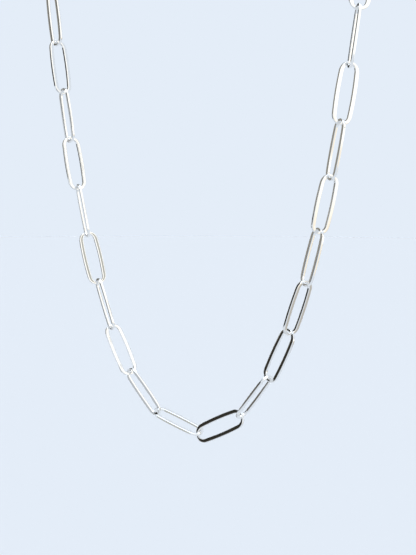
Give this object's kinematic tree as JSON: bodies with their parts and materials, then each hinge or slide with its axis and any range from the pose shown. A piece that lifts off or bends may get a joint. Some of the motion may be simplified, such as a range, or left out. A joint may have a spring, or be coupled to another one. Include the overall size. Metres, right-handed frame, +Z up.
{
  "type": "paperclip chain necklace",
  "caption": "Silver neck chain of long oval links with flattened sides, hanging in a narrow loop as worn, closed at the nape by a plain oblong clasp.",
  "frame": {"origin": "where the closed chain bears on the nape of the neck, on the inner side of the clasp", "axes": "+Z up along the hang, +X to the right as seen from the front, the hanging front of the chain towards -Y"},
  "size_m": [0.0942, 0.0685, 0.156],
  "materials": {
    "links": "polished",
    "clasp": "polished"
  },
  "bodies": {
    "root": {"link_01": "links", "link_02": "links", "link_03": "links", "link_04": "links", "link_05": "links", "link_06": "links", "link_07": "links", "link_08": "links", "link_09": "links", "link_10": "links", "link_11": "links", "link_12": "links", "link_13": "links", "link_14": "links", "link_15": "links", "link_16": "links", "link_17": "links", "link_18": "links", "link_19": "links", "link_20": "links", "link_21": "links", "link_22": "links", "link_23": "links", "link_24": "links", "link_25": "links", "link_26": "links", "link_27": "links", "link_28": "links", "link_29": "links", "link_30": "links", "link_31": "links", "link_32": "links", "link_33": "links", "link_34": "links", "link_35": "links", "link_36": "links", "link_37": "links", "link_38": "links", "link_39": "links", "link_40": "links", "clasp": "clasp"}
  },
  "joints": []
}
